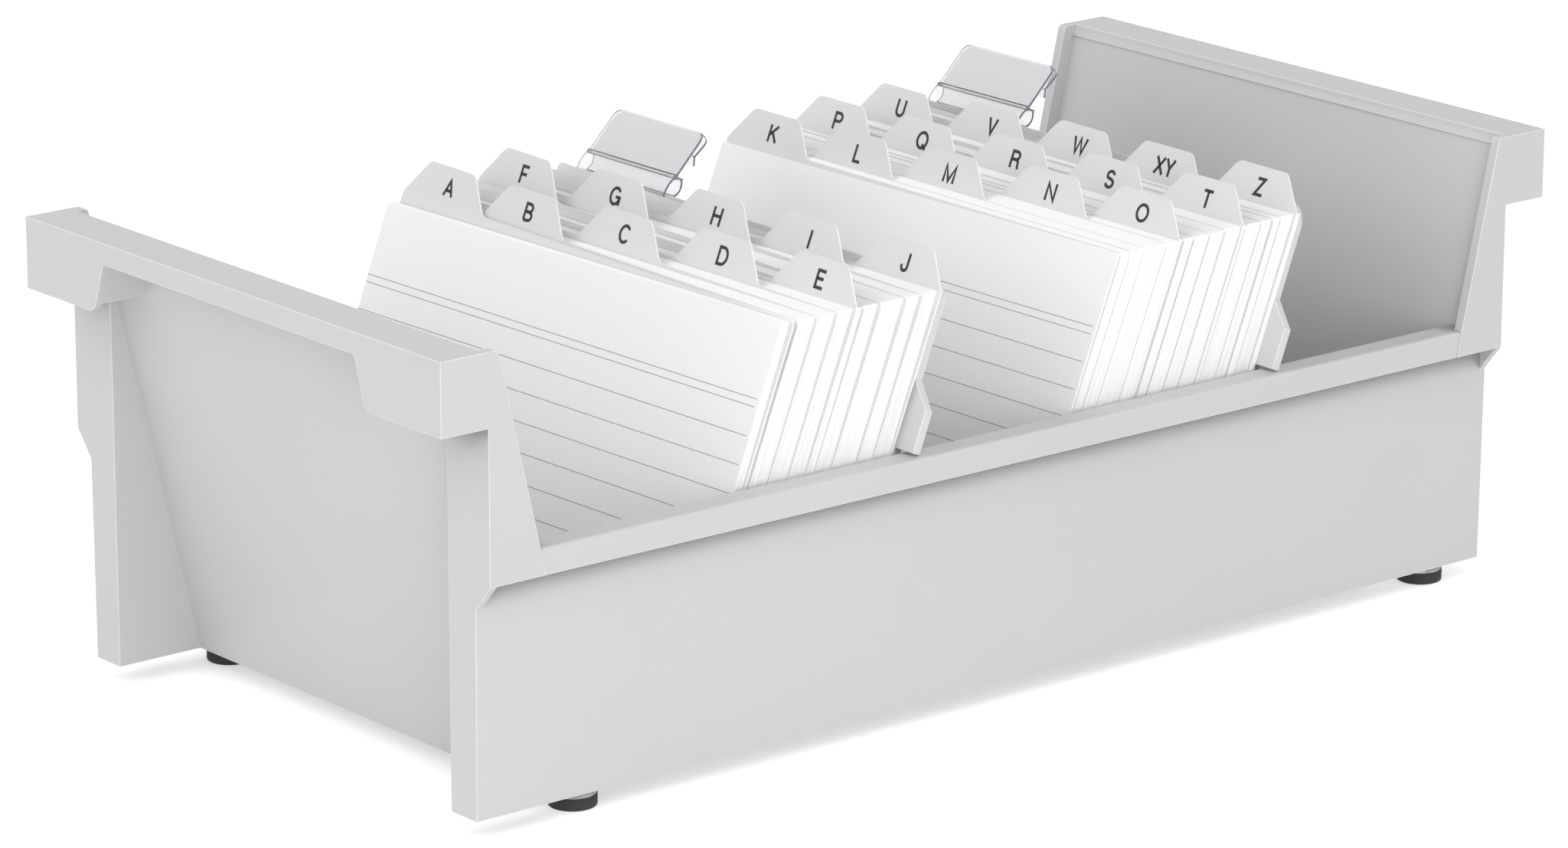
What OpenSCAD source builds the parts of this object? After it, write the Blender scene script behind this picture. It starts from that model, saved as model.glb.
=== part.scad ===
// Index card trough for A6 cards held landscape: a moulded trough on four rubber feet,
// two stacks of cards with letter guides, and behind each stack a sliding support plate
// that carries a clear rider with a slip of card in it.
// Millimetres, +Z up, length along Y, the user's end at -Y, origin under the middle.

/* [Cards] */
// Width of a card, held landscape
card_w = 148; // [140:1:160]
// Height of a card
card_h = 105; // [98:1:112]
// Thickness of a guide card
guide_t = 0.4; // [0.3:0.05:0.6]
// How far a guide stands out past the cards on each side
guide_margin = 0.1; // [0.1:0.1:0.3]
// How far a guide's body stands above the cards
guide_rise = 0.1; // [0.1:0.1:1]

/* [Tabs] */
// Height of a tab above the guide's body
tab_h = 9.1; // [8:0.1:10]
// Width of a tab along its top, corners included
tab_top_w = 17.2; // [15:0.2:18]
// Sideways run of each slanting side of a tab
tab_slant = 7; // [5:0.5:9]
// Radius of a tab's top corners
tab_corner_r = 3; // [1:0.5:4.5]
// Radius of the fillet at a tab's foot
tab_foot_r = 3; // [1:0.5:4]

/* [Stacks] */
// Front stack's depth, measured level at reading height
front_depth = 47.8; // [40:0.1:50]
// Rear stack's depth, measured level at reading height
rear_depth = 59; // [52:0.1:62]
// Lean of the front stack's first card from upright, in degrees
front_lean = 21.4; // [21.3:0.1:24]
// Lean of the rear stack's first card from upright, in degrees
rear_lean = 22.4; // [21.3:0.1:24]
// Free play between two neighbouring groups of cards
stack_gap = 0.25; // [0.15:0.05:0.35]
// Thickness of one bundle of cards inside a pack
bundle_t = 1.3; // [1:0.1:2]
// How far a bundle may stand out of line
bundle_play = 0.45; // [0.1:0.05:0.5]
// Turn of the front stack's first cards about their right-hand end, in degrees
front_yaw = 1.8; // [0:0.1:2]
// Turn of the rear stack's first card about its right-hand end, in degrees
rear_yaw = 1.2; // [0:0.1:1.4]
// Tilt of the front stack's guides, left end up, in degrees
front_tilt = 1.2; // [0:0.1:1.3]
// Tilt of the rear stack's guides, left end up, in degrees
rear_tilt = 0.5; // [0:0.1:1.3]
// Tilt of the frontmost cards behind a guide, left end up, in degrees
card_tilt = 0.6; // [0:0.1:0.8]

/* [Trough] */
// Length between the faces of the end posts
trough_len = 320; // [310:1:340]
// Thickness of the side walls, posts and end panels
wall = 1.8; // [1.5:0.1:2.4]
// Thickness of the floor
floor_t = 2.5; // [1.6:0.1:3]
// Free play between a guide and each side wall at the floor
side_gap = 1; // [0.9:0.1:1.5]
// Draft of the side walls, in degrees
wall_draft = 0.6; // [0:0.1:1]
// Height from the floor's underside to the top of the rim
side_h = 63.5; // [58:0.5:70]
// Width of the rim's top face
rim_w = 7; // [5.5:0.1:9]
// Drop of the rim's outer face
rim_drop = 6.5; // [5:0.5:9]
// Thickness of the rim's top and outer face
rim_t = 1.8; // [1.4:0.1:2.2]
// Radius of the rim's outer edge
rim_r = 0.9; // [0.4:0.1:1.2]

/* [Ends] */
// Height from the floor's underside to the top of the ends
end_h = 111.8; // [106:0.2:116]
// Lean of the end panels, outward going up, in degrees
end_lean = 13.25; // [11:0.25:14]
// How far a panel's inner top edge stands past the post faces
panel_over = 0.8; // [0.4:0.1:2]
// Level distance from a gusset's sloping edge back to the panel
gusset_lead = 3.7; // [3:0.1:5]
// Thickness of a gusset
gusset_t = 2.6; // [2:0.1:3]
// How far a gusset stands proud of the rim's outer face
gusset_proud = 0.15; // [0.1:0.05:0.3]
// Radius of a gusset's top corner
gusset_r = 1.5; // [0.5:0.5:2.5]
// Width of a post's face below the rim
post_w = 9.6; // [8:0.1:12]
// Height of the slant under the rim's end
post_slant_h = 6.6; // [5:0.1:8]
// Height of the bevelled brow along a panel's inner top edge
brow_h = 2.8; // [2:0.1:4]
// Depth of the step under the brow
brow_step = 0.5; // [0.3:0.1:0.8]

/* [Handles] */
// How far a handle stands out from the post faces
lug_reach = 13.1; // [11:0.1:16]
// Height of the lugs at each side of a handle
lug_h = 17.7; // [15:0.1:20]
// Width of the finger notch along its top
notch_w = 100.4; // [90:0.2:110]
// Sideways run of each slanting side of the notch
notch_slant = 4.2; // [2:0.1:6]
// Height of the lip along the top of the notch
lip_h = 5.3; // [4:0.1:7]
// Radius of a lug's lower inner corner
lug_r = 3; // [1:0.5:4]
// Radius of the notch's upper corners
notch_r = 0.8; // [0.4:0.1:1.5]

/* [Feet] */
// Diameter of a rubber foot
foot_d = 10.7; // [9:0.1:12]
// Height of a rubber foot under its boss
foot_h = 1.7; // [1.2:0.1:2.5]
// Radius of a rubber foot's lower edge
foot_r = 0.5; // [0.2:0.1:0.8]
// Diameter of a rubber foot's stem
stem_d = 4; // [3:0.1:5]
// Length of a rubber foot's stem
stem_len = 2.6; // [2:0.1:3]
// Radial play around a stem
stem_play = 0.05; // [0.02:0.01:0.1]
// Height of the bosses under the floor
boss_h = 3.5; // [3:0.1:5]
// Radial width of a boss outside its foot
boss_rim = 0.2; // [0.1:0.1:0.6]
// Distance of the feet from the outer faces of the side walls
foot_side_in = 8; // [7:0.1:12]
// Distance of the front feet from the front post faces
front_foot_in = 33.5; // [30:0.5:40]
// Distance of the rear feet from the rear post faces
rear_foot_in = 12.8; // [11:0.1:14]

/* [Support plates] */
// Thickness of a support plate
plate_t = 2.2; // [1.8:0.1:2.6]
// How far a plate's top edge stands above the cards, along the lean
plate_rise = 2.4; // [1:0.1:4]
// Lean of the support plates from upright, in degrees
plate_lean = 21.3; // [20.5:0.1:21.3]
// Radius of a plate's top corners
plate_corner_r = 6; // [2:0.5:8]
// How far an ear stands out past the plate's side
ear_w = 6.5; // [5.5:0.1:6.6]
// Height of an ear's straight side, along the lean
ear_h = 10.4; // [8:0.1:13]
// Gap between an ear's lowest corner and the rim below it
ear_gap = 0.15; // [0.1:0.05:0.5]
// Length of the foot behind a plate
plate_foot = 16; // [12:0.5:20]
// Gap under a plate's foot
plate_lift = 0.2; // [0.1:0.05:0.3]
// Radius of the fillet between a plate and its foot
plate_fillet_r = 2; // [1:0.5:4]
// Front plate's face, from the middle of the trough along the floor
front_plate_y = -57.9; // [-60:0.1:-52]
// Rear plate's face, from the middle of the trough along the floor
rear_plate_y = 58.4; // [56:0.1:64]

/* [Riders] */
// Length of a rider
rider_w = 35; // [28:0.2:38]
// Wall of a rider
rider_t = 0.6; // [0.5:0.05:0.65]
// Distance of a rider from its plate's left edge
rider_in = 7.4; // [7:0.1:20]
// Play between a rider and the faces of its plate
rider_play = 0.15; // [0.1:0.05:0.2]
// Radius of a rider's front leg
leg_r = 7; // [6.5:0.1:7.5]
// Straight length of a rider's front leg along its plate
leg_len = 1.5; // [1:0.1:2]
// Radius of the ring over a plate's edge
ring_r = 3.15; // [3:0.05:3.3]
// Length of a rider's sloping panel
panel_len = 12.5; // [11:0.1:13]
// Tilt of the sloping panel from upright, in degrees
panel_tilt = 44.5; // [40:0.5:46]
// Radius of the loop along the panel's top
loop_r = 1; // [0.9:0.05:1.2]
// Length of the leg behind the panel
back_len = 5.2; // [4.5:0.1:6]
// How far the back leg closes in on the panel, in degrees
back_close = 7.5; // [5:0.5:7.5]
// Length of the back leg's lip
lip_len = 2.3; // [1.5:0.1:3]
// Radius of the bead along the panel's foot
bead_r = 0.7; // [0.5:0.05:0.8]
// Length of the ledge under the label
ledge_len = 2.6; // [2:0.1:2.8]
// Radius of a rider's top corners
rider_corner_r = 3; // [1:0.2:3.4]
// Thickness of a label
label_t = 0.25; // [0.2:0.05:0.3]
// Clear strip left beside a label's left-hand end
label_margin = 1.6; // [0.8:0.1:3]
// Play between a label and its rider
label_play = 0.1; // [0.05:0.01:0.12]

/* [Hidden] */
front_letters = ["a", "b", "c", "d", "e", "f", "g", "h", "i", "j"];
rear_letters = ["k", "l", "m", "n", "o", "p", "q", "r", "s", "t", "u", "v", "w", "xy", "z"];
tab_count = 5;
// Each group's part of its stack's depth, first the cards in front of the first guide
front_depth_shares = [0.0523, 0.0272, 0.1214, 0.1256, 0.1109, 0.0523, 0.1088, 0.1612, 0.1005, 0.1109, 0.0289];
rear_depth_shares = [0.0102, 0.0517, 0.0755, 0.1221, 0.0619, 0.0331, 0.056, 0.0873, 0.0856, 0.0907, 0.0212,
                     0.0899, 0.0661, 0.0415, 0.0814, 0.0259];
// How bundles stand out of line, as parts of bundle_play, used in turn
play_shares = [0.3, -0.8, 0.9, -0.2, 0.6, -1, 0.1, 0.8, -0.5, 0.4, -0.7];
// Where a letter's middle stands in a tab's height
letter_share = 3 / 7;
// The part of a card's height at which its right-hand edge stays in place when it tilts
hold_share = 0.38;
corner_steps = 5;
curve_steps = 14;
overrun = 1;
round_fn = 48;

guide_w = card_w + 2 * guide_margin;
tab_base_w = tab_top_w + 2 * tab_slant;
tab_pitch = (guide_w - tab_base_w) / (tab_count - 1);
guide_h = card_h + guide_rise;

body_z = foot_h + boss_h;
floor_z = body_z + floor_t;
rim_z = body_z + side_h;
top_z = body_z + end_h;
lug_z = top_z - lug_h;
in_half = guide_w / 2 + side_gap;
bottom_half = in_half + wall;
rim_in_half = in_half + (rim_z - floor_z) * tan(wall_draft);
rim_half = rim_in_half + rim_w;
gusset_half = rim_half + gusset_proud;
post_y = trough_len / 2;
lug_y = post_y + lug_reach;
panel_top_y = post_y + panel_over;
panel_run = wall / cos(end_lean);
post_in_half = bottom_half - post_w;

card_z = floor_z + plate_lift;
reading_z = card_z + (guide_h + tab_h * letter_share) * cos(plate_lean);
reading_h = reading_z - card_z;
plate_h = card_h + plate_rise;

function panel_y(z) = panel_top_y - (top_z - z) * tan(end_lean);
function wall_half(z) = in_half + (z - floor_z) * tan(wall_draft);
function sum_of(v, n) = n <= 0 ? 0 : v[n - 1] + sum_of(v, n - 1);
function unit(v) = v / norm(v);
function arc(c, r, a0, a1, steps) = [for (i = [0:steps]) c + r * [cos(a0 + (a1 - a0) * i / steps),
                                                                 sin(a0 + (a1 - a0) * i / steps)]];

// One corner of an outline, rounded to a radius, inward or outward
function corner(a, p, b, r) =
    r == 0 ? [p] :
    let (u = unit(a - p), w = unit(b - p), half = acos(u * w) / 2,
         c = p + unit(u + w) * r / sin(half),
         s = p + u * r / tan(half) - c, e = p + w * r / tan(half) - c,
         a0 = atan2(s[1], s[0]), turn = atan2(e[1], e[0]) - a0,
         sweep = turn > 180 ? turn - 360 : turn < -180 ? turn + 360 : turn)
    arc(c, r, a0, a0 + sweep, corner_steps);

// An outline of [x, y, radius] points with its corners rounded
function rounded(pts) =
    let (n = len(pts), at = function (i) [pts[(i + n) % n][0], pts[(i + n) % n][1]])
    [for (i = [0:n - 1]) each corner(at(i - 1), at(i), at(i + 1), pts[i][2])];

// The two sides of a strip of even thickness along a path
function side_of(path, d) =
    [for (i = [0:len(path) - 1])
        let (a = unit(path[max(i, 1)] - path[max(i, 1) - 1]),
             b = unit(i < len(path) - 1 ? path[i + 1] - path[i] : a),
             m = unit(a + b), reach = d / max(0.5, m * a))
        path[i] + reach * [-m[1], m[0]]];
function strip(path, t) =
    let (left = side_of(path, t / 2), right = side_of(path, -t / 2), n = len(path))
    concat(left, [for (i = [0:n - 1]) right[n - 1 - i]]);

// Draws a YZ outline and gives it a width along X, with the middle at zero
module across(w) {
    rotate([90, 0, 90]) linear_extrude(w, center = true) children();
}

// Draws an XZ outline and gives it a depth along +Y, from y
module along(y, depth) {
    translate([0, y + depth, 0]) rotate([90, 0, 0]) linear_extrude(depth) children();
}

module both_ends() {
    children();
    rotate([0, 0, 180]) children();
}

module both_sides() {
    children();
    mirror([1, 0, 0]) children();
}

// The trough: floor, side walls with their hollow rims, leaning end panels,
// box posts, gussets and the two handles, moulded in one piece

module side_section() {
    polygon([[in_half, floor_z], [in_half, body_z], [bottom_half, body_z],
             [wall_half(rim_z) + wall, rim_z - rim_t / 2], [rim_in_half, rim_z - rim_t / 2]]);
    polygon(rounded([[rim_in_half, rim_z, rim_r / 2], [rim_in_half, rim_z - rim_t, 0],
                     [rim_half - rim_t, rim_z - rim_t, 0], [rim_half - rim_t, rim_z - rim_drop, 0],
                     [rim_half, rim_z - rim_drop, 0], [rim_half, rim_z, rim_r]]));
}

module end_panel() {
    half_low = in_half + wall / 2;
    half_high = gusset_half - gusset_t / 2;
    across(2 * half_low) polygon([[-panel_y(body_z), body_z], [-panel_y(rim_z), rim_z],
                                  [-panel_y(rim_z) - panel_run, rim_z],
                                  [-panel_y(body_z) - panel_run, body_z]]);
    across(2 * half_high) polygon([[-panel_y(rim_z - rim_t), rim_z - rim_t], [-panel_y(top_z), top_z],
                                   [-panel_y(top_z) - panel_run, top_z],
                                   [-panel_y(rim_z - rim_t) - panel_run, rim_z - rim_t]]);
}

module brow() {
    low_z = top_z - brow_h;
    across(2 * gusset_half - gusset_t)
        polygon([[-panel_y(low_z) - panel_run / 2, low_z - brow_step], [-panel_y(low_z) + brow_step, low_z],
                 [-panel_y(top_z) - brow_step, top_z], [-panel_y(top_z) - panel_run, top_z]]);
}

// A post ends inside the lug, where the panel comes out to meet its face
module post() {
    slant_low = rim_z - rim_drop - post_slant_h;
    high_z = lug_z + wall;
    along(-post_y, wall)
        polygon([[post_in_half, body_z], [bottom_half, body_z], [wall_half(slant_low) + wall, slant_low],
                 [gusset_half, rim_z - rim_drop], [gusset_half, high_z], [post_in_half, high_z]]);
    translate([post_in_half + wall / 2, 0, 0]) across(wall)
        polygon([[-post_y, body_z], [-panel_y(body_z) - panel_run / 2, body_z],
                 [-panel_y(high_z) - panel_run / 2, high_z], [-post_y, high_z]]);
}

// The gusset and the side of the lug are one skin
module gusset() {
    edge_y = function (z) gusset_lead - panel_y(z);
    low_z = rim_z - rim_drop;
    translate([gusset_half - gusset_t / 2, 0, 0])
        across(gusset_t)
            polygon(rounded([[edge_y(low_z), low_z, 0], [edge_y(top_z), top_z, gusset_r], [-lug_y, top_z, 0],
                             [-lug_y, lug_z, 0], [-post_y, lug_z, 0], [-post_y, low_z, 0]]));
}

module handle() {
    notch = notch_w / 2;
    lip_z = top_z - lip_h;
    lug_in = notch + notch_slant;
    translate([-gusset_half, -lug_y, top_z - wall]) cube([2 * gusset_half, lug_y - panel_top_y, wall]);
    along(-lug_y, wall)
        polygon(rounded([[-gusset_half, top_z, 0], [-gusset_half, lug_z, 0], [-lug_in, lug_z, lug_r],
                         [-notch, lip_z, notch_r], [notch, lip_z, notch_r], [lug_in, lug_z, lug_r],
                         [gusset_half, lug_z, 0], [gusset_half, top_z, 0]]));
    both_sides() lug_wall(notch, lug_in, lip_z);
}

// The inner wall of a lug, from its face back to the end panel
module lug_wall(notch, lug_in, lip_z) {
    slope = notch_slant / (lip_z - lug_z);
    low_z = lug_z + lug_r * 2 / 3;
    high_z = top_z - wall / 2;
    x_at = function (z) lug_in - (z - lug_z) * slope;
    intersection() {
        along(-lug_y, lug_reach + wall)
            polygon([[x_at(low_z), low_z], [x_at(low_z) + wall, low_z],
                     [x_at(high_z) + wall, high_z], [x_at(high_z), high_z]]);
        across(2 * gusset_half) polygon([[-lug_y, lug_z], [-panel_y(lug_z) - panel_run / 2, lug_z],
                                         [-panel_y(top_z) - panel_run / 2, top_z], [-lug_y, top_z]]);
    }
}

// Places its children under each foot
module at_feet() {
    foot_x = bottom_half - foot_side_in;
    for (x = [-foot_x, foot_x], y = [front_foot_in - post_y, post_y - rear_foot_in])
        translate([x, y, 0]) children();
}

module boss() {
    difference() {
        translate([0, 0, foot_h]) cylinder(d = foot_d + 2 * boss_rim, h = boss_h + floor_t / 2, $fn = round_fn);
        translate([0, 0, foot_h - overrun])
            cylinder(r = stem_d / 2 + stem_play, h = stem_len + stem_play + overrun, $fn = round_fn);
    }
}

// The rear posts have a floor of their own, which carries the rear bosses
module rear_post_floor() {
    low_y = panel_y(body_z);
    translate([post_in_half, low_y, body_z]) cube([post_w - wall / 2, post_y - low_y, floor_t]);
}

module trough() {
    floor_len = 2 * panel_y(body_z) + panel_run;
    color([0.82, 0.82, 0.82]) union() {
        both_sides() along(-post_y, trough_len) side_section();
        translate([-in_half - wall / 2, -floor_len / 2, body_z]) cube([2 * in_half + wall, floor_len, floor_t]);
        both_ends() {
            end_panel();
            brow();
            handle();
            both_sides() {
                post();
                gusset();
            }
        }
        both_sides() rear_post_floor();
        at_feet() boss();
    }
}

module feet() {
    color([0.2, 0.2, 0.2]) at_feet() rotate_extrude($fn = round_fn)
        polygon([[0, 0], each arc([foot_d / 2 - foot_r, foot_r], foot_r, -90, 0, corner_steps),
                 [foot_d / 2, foot_h], [stem_d / 2, foot_h], [stem_d / 2, foot_h + stem_len],
                 [0, foot_h + stem_len]]);
}

// Cards and guides. Each group is a guide with the cards behind it. A group's place is where
// the right-hand end of its face stands at reading height, and its lean is between its
// stack's and the plate's. Its turn about that end fades towards the plate.

// Stands a child up at a foot line and leans it back: x across, y through, z up
module lean_at(y, lean) {
    translate([0, y, card_z]) rotate([-lean, 0, 0]) children();
}

function stack_of(front) = front ? front_depth_shares : rear_depth_shares;
function depth_of(front) = front ? front_depth : rear_depth;
function plate_foot_y(front) = front ? front_plate_y : rear_plate_y;
function fade(front, i) = 1 - i / len(stack_of(front));
function group_lean(front, i) =
    plate_lean + ((front ? front_lean : rear_lean) - plate_lean) * fade(front, i);
function group_reading_y(front, i) =
    let (total = sum_of(stack_of(front), len(stack_of(front))),
         passed = sum_of(stack_of(front), i) / total)
    plate_foot_y(front) + reading_h * tan(plate_lean) - depth_of(front) * (1 - passed);
function group_foot_y(front, i) = group_reading_y(front, i) - reading_h * tan(group_lean(front, i));
function group_t(front, i) =
    (group_reading_y(front, i + 1) - group_reading_y(front, i) - stack_gap) * cos(group_lean(front, i));

function group_yaw(front, i) = (front ? front_yaw : rear_yaw) * fade(front, i);

// Stands a child of a group up on the right-hand corner of its foot, half its width from its
// middle, with its left end tilted up and its right-hand edge held in place partway up
module stand(front, i, half, tilt) {
    slip = hold_share * card_h * sin(tilt);
    translate([card_w / 2, group_foot_y(front, i), card_z])
        rotate([0, 0, group_yaw(front, i)]) rotate([-group_lean(front, i), 0, 0])
            translate([half - card_w / 2 - slip, 0, 0]) rotate([0, tilt, 0]) translate([-half, 0, 0])
                children();
}

// A guide: its tab stands at one of the places from left to right
module guide(front, i) {
    place = (i - 1) % tab_count;
    tab_x = place * tab_pitch - guide_w / 2 + tab_base_w / 2;
    left_r = place > 0 ? tab_foot_r : tab_foot_r / 2;
    right_r = place < tab_count - 1 ? tab_foot_r : tab_foot_r / 2;
    left = [[-guide_w / 2, 0, 0], if (place > 0) [-guide_w / 2, guide_h, tab_foot_r / 2]];
    right = [if (place < tab_count - 1) [guide_w / 2, guide_h, tab_foot_r / 2], [guide_w / 2, 0, 0]];
    color([0.89, 0.9, 0.9]) stand(front, i, guide_w / 2, front ? front_tilt : rear_tilt)
        along(0, guide_t)
            polygon(rounded(concat(left, [
                [tab_x - tab_base_w / 2, guide_h, left_r],
                [tab_x - tab_top_w / 2, guide_h + tab_h, tab_corner_r],
                [tab_x + tab_top_w / 2, guide_h + tab_h, tab_corner_r],
                [tab_x + tab_base_w / 2, guide_h, right_r]], right)));
}

// A pack of cards from t0 to t1 through the group, in bundles that all stand on the floor
// and a little out of line, around a core that is common to them
module pack(t0, t1, lean, seed) {
    n = max(1, round((t1 - t0) / bundle_t));
    step = (t1 - t0) / n;
    slope = tan(lean);
    inset = 2 * bundle_play;
    across(card_w - 2 * inset)
        polygon([[t0, (t0 + step) * slope + inset], [t1, (t1 + step) * slope + inset],
                 [t1, t1 * slope + card_h - inset], [t0, t0 * slope + card_h - inset]]);
    for (i = [0:n - 1]) {
        t = t0 + i * step;
        side = bundle_play * play_shares[(i + seed * 3) % len(play_shares)];
        rise = bundle_play * play_shares[(i * 2 + seed) % len(play_shares)];
        translate([side - card_w / 2, t, (t + step) * slope]) cube([card_w, step, card_h + rise]);
    }
}

module cards(front, i) {
    color([0.96, 0.96, 0.97]) stand(front, i, card_w / 2 + bundle_play, card_tilt * fade(front, i))
        pack(guide_t, group_t(front, i), group_lean(front, i), i + (front ? 0 : 4));
}

// The first cards of a stack have no guide
module first_cards(front) {
    color([0.94, 0.94, 0.95]) stand(front, 0, card_w / 2, 0)
        pack(0, group_t(front, 0), group_lean(front, 0), 2);
}

// Support plates: a leaning plate with ears over the rims and a foot along the floor
module support(y) {
    half = card_w / 2;
    ear_z = (rim_z + ear_gap - card_z + plate_t * sin(plate_lean)) / cos(plate_lean);
    knee_z = ear_z + ear_h;
    run = plate_t / cos(plate_lean);
    color([0.8, 0.8, 0.8]) intersection() {
        translate([0, y, card_z]) across(2 * card_w)
            polygon(rounded([[0, 0, 0], [plate_foot, 0, 0], [plate_foot, plate_t, plate_t / 3],
                             [plate_t * tan(plate_lean) + run, plate_t, plate_fillet_r],
                             [plate_h * tan(plate_lean) + run, plate_h, 0],
                             [plate_h * tan(plate_lean), plate_h, 0]]));
        lean_at(y, plate_lean) along(-plate_foot, 3 * plate_foot)
            polygon(rounded([[-half, -plate_foot, 0], [half, -plate_foot, 0], [half, ear_z, 0],
                             [half + ear_w, ear_z, 0], [half + ear_w, knee_z, 0], [half, knee_z + ear_w, 0],
                             [half, plate_h, plate_corner_r], [-half, plate_h, plate_corner_r],
                             [-half, knee_z + ear_w, 0], [-half - ear_w, knee_z, 0], [-half - ear_w, ear_z, 0],
                             [-half, ear_z, 0]]));
    }
}

// Riders: one clear strip, bent to a ring that grips the plate's top edge and a sloping panel,
// drawn in YZ with the front of the plate's top edge at zero
plate_back = [cos(plate_lean), -sin(plate_lean)];
plate_up = [sin(plate_lean), cos(plate_lean)];
panel_up = [sin(panel_tilt), cos(panel_tilt)];
panel_back = [cos(panel_tilt), -sin(panel_tilt)];
leg_bend = -0.3 * rider_t;
leg_centre = (leg_r - rider_play - rider_t / 2) * plate_back + leg_bend * plate_up;
leg_start_a = 180 - plate_lean;
leg_end_a = 114;
panel_foot = leg_centre + leg_r * [cos(leg_end_a), sin(leg_end_a)];
panel_top = panel_foot + panel_len * panel_up;
loop_centre = panel_top + loop_r * panel_back;
loop_start_a = 180 - panel_tilt;
loop_end_a = loop_start_a - 180 - back_close;
loop_end = loop_centre + loop_r * [cos(loop_end_a), sin(loop_end_a)];
back_end = loop_end + back_len * [sin(loop_end_a), -cos(loop_end_a)];
ring_end_a = -76;
ring_start_a = 20;
ring_centre = [1.9 / 3.15, 2.1 / 3.15] * ring_r;
lip_lean = 6;
ledge_drop = 25;

module rider_profile() {
    polygon(strip(concat([(-rider_play - rider_t / 2) * plate_back - leg_len * plate_up],
                         arc(leg_centre, leg_r, leg_start_a, leg_end_a, curve_steps),
                         arc(loop_centre, loop_r, loop_start_a, loop_end_a, curve_steps),
                         [back_end, back_end - lip_len * [sin(lip_lean), cos(lip_lean)]]), rider_t));
    polygon(strip(arc(ring_centre, ring_r, ring_start_a, ring_end_a, curve_steps), rider_t));
    polygon(strip([panel_foot, panel_foot + ledge_len * [cos(ledge_drop), -sin(ledge_drop)]], rider_t));
    translate(panel_foot) circle(bead_r, $fn = round_fn);
}

// Where a plate's top front edge lies, and the middle of its rider
function plate_top(front) = [plate_foot_y(front), card_z] + plate_h * plate_up;
rider_x = rider_in - card_w / 2 + rider_w / 2;

// What is cut off at each top corner, drawn in the panel's own plane
module rider_corner_cut() {
    r = rider_corner_r;
    top = panel_top + (loop_r + rider_t / 2) * panel_up;
    both_sides() translate([rider_w / 2, top[0], top[1]]) rotate([-panel_tilt, 0, 0])
        along(-2 * ring_r, 4 * ring_r) difference() {
            translate([-r, -r]) square(r + overrun);
            translate([-r, -r]) circle(r, $fn = round_fn);
        }
}

module rider(front) {
    at = plate_top(front);
    color([0.85, 0.88, 0.9, 0.5]) translate([rider_x, at[0], at[1]]) difference() {
        across(rider_w) rider_profile();
        rider_corner_cut();
    }
}

module label(front) {
    at = plate_top(front);
    offset_back = rider_t / 2 + label_play + label_t / 2;
    low = panel_foot + offset_back * panel_back + (rider_t + label_play) * panel_up;
    high = panel_top + offset_back * panel_back - label_play * panel_up;
    color([0.93, 0.93, 0.92]) translate([rider_x, at[0], at[1]]) difference() {
        translate([label_margin / 2, 0, 0]) across(rider_w - label_margin) polygon(strip([low, high], label_t));
        rider_corner_cut();
    }
}

module front_support() support(front_plate_y);
module rear_support() support(rear_plate_y);
module front_rider() rider(true);
module rear_rider() rider(false);
module front_label() label(true);
module rear_label() label(false);
module front_first_cards() first_cards(true);
module rear_first_card() first_cards(false);

trough();
feet();
front_support();
rear_support();
front_rider();
rear_rider();
front_label();
rear_label();
front_first_cards();
rear_first_card();
for (i = [1:len(front_letters)]) {
    guide(true, i);
    cards(true, i);
}
for (i = [1:len(rear_letters)]) {
    guide(false, i);
    cards(false, i);
}
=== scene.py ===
# Index card trough: camera and light, the materials, then the slips, the feet, the letters on the
# guides and the packs, card by card. All else shows its CAD solid.
import math
import random

import bpy
from mathutils import Matrix, Vector


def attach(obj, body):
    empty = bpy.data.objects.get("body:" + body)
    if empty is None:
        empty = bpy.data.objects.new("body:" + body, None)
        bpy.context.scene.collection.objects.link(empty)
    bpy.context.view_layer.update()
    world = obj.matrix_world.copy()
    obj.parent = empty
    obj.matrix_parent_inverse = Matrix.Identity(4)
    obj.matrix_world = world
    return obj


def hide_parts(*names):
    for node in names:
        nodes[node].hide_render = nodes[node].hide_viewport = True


mm = 0.001
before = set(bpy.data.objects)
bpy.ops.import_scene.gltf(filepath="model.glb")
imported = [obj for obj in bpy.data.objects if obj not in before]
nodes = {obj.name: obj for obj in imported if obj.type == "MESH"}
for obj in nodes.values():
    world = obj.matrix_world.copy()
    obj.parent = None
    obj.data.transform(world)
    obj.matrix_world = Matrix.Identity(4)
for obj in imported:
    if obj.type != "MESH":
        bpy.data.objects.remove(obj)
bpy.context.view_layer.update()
scene = bpy.context.scene
scene.view_settings.view_transform = "Standard"
print("frame loaded:", len(nodes), "nodes")


# small tools

def hexToLinear(code, alpha=1.0):
    # sRGB hex to the linear colour that a shader socket wants
    out = []
    for k in (1, 3, 5):
        c = int(code[k:k + 2], 16) / 255
        out.append(c / 12.92 if c <= 0.04045 else ((c + 0.055) / 1.055) ** 2.4)
    return (*out, alpha)


def addNode(tree, kind, settings=None, inputs=None):
    # settings are the node's own properties; inputs are values, or sockets to link from
    node = tree.nodes.new(kind)
    for name, value in (settings or {}).items():
        setattr(node, name, value)
    for key, value in (inputs or {}).items():
        if isinstance(value, bpy.types.NodeSocket):
            tree.links.new(value, node.inputs[key])
        else:
            node.inputs[key].default_value = value
    return node


def newMaterial(name):
    mat = bpy.data.materials.new(name)
    mat.use_nodes = True
    tree = mat.node_tree
    tree.nodes.clear()
    return mat, tree


def toneRange(code, share):
    # a colour a little below and a little above a base, for a pattern to drift between
    base = hexToLinear(code)[:3]
    return tuple(c * (1 - share) for c in base) + (1,), tuple(min(1, c * (1 + share)) for c in base) + (1,)


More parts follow.
